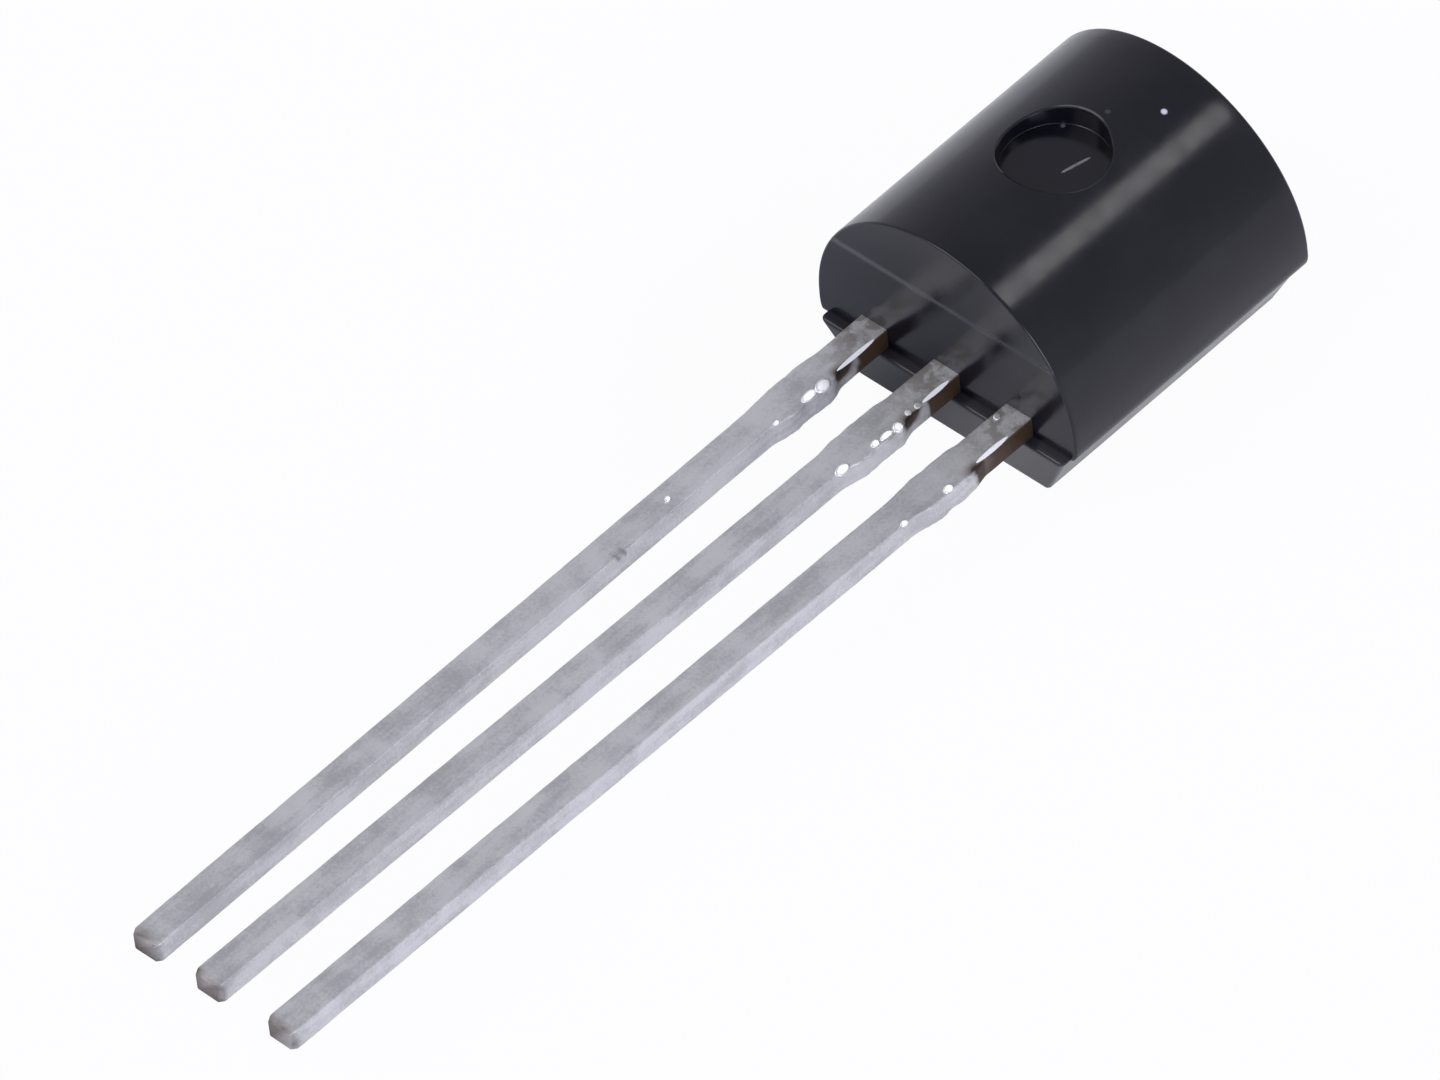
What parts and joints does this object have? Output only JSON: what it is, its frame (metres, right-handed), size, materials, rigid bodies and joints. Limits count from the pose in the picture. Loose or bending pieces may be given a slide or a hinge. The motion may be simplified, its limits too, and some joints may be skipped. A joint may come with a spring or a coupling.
{
  "type": "voltage reference chip",
  "caption": "Through-hole voltage reference in a D-section moulded package with a row of flat tinned leads; holds a set voltage for the circuit round it.",
  "frame": {"origin": "middle of the flat face", "axes": "+Z from the flat face to the crown of the round side, the leads lie in a row along X and point to -Y, +Y from the lead tips to the body's far end"},
  "size_m": [0.0046, 0.0182, 0.0034],
  "materials": {
    "body": "semi-gloss moulded epoxy, slightly mottled",
    "leads": "matt tin plating over copper alloy",
    "silicon": "sawn silicon",
    "adhesive": "silver-filled adhesive",
    "gold": "drawn gold wire"
  },
  "bodies": {
    "root": {"body": "body", "left_lead": "leads", "middle_lead": "leads", "right_lead": "leads", "die": "silicon", "die_attach": "adhesive", "left_wire": "gold", "right_wire": "gold", "paddle_wire": "gold"}
  },
  "joints": []
}
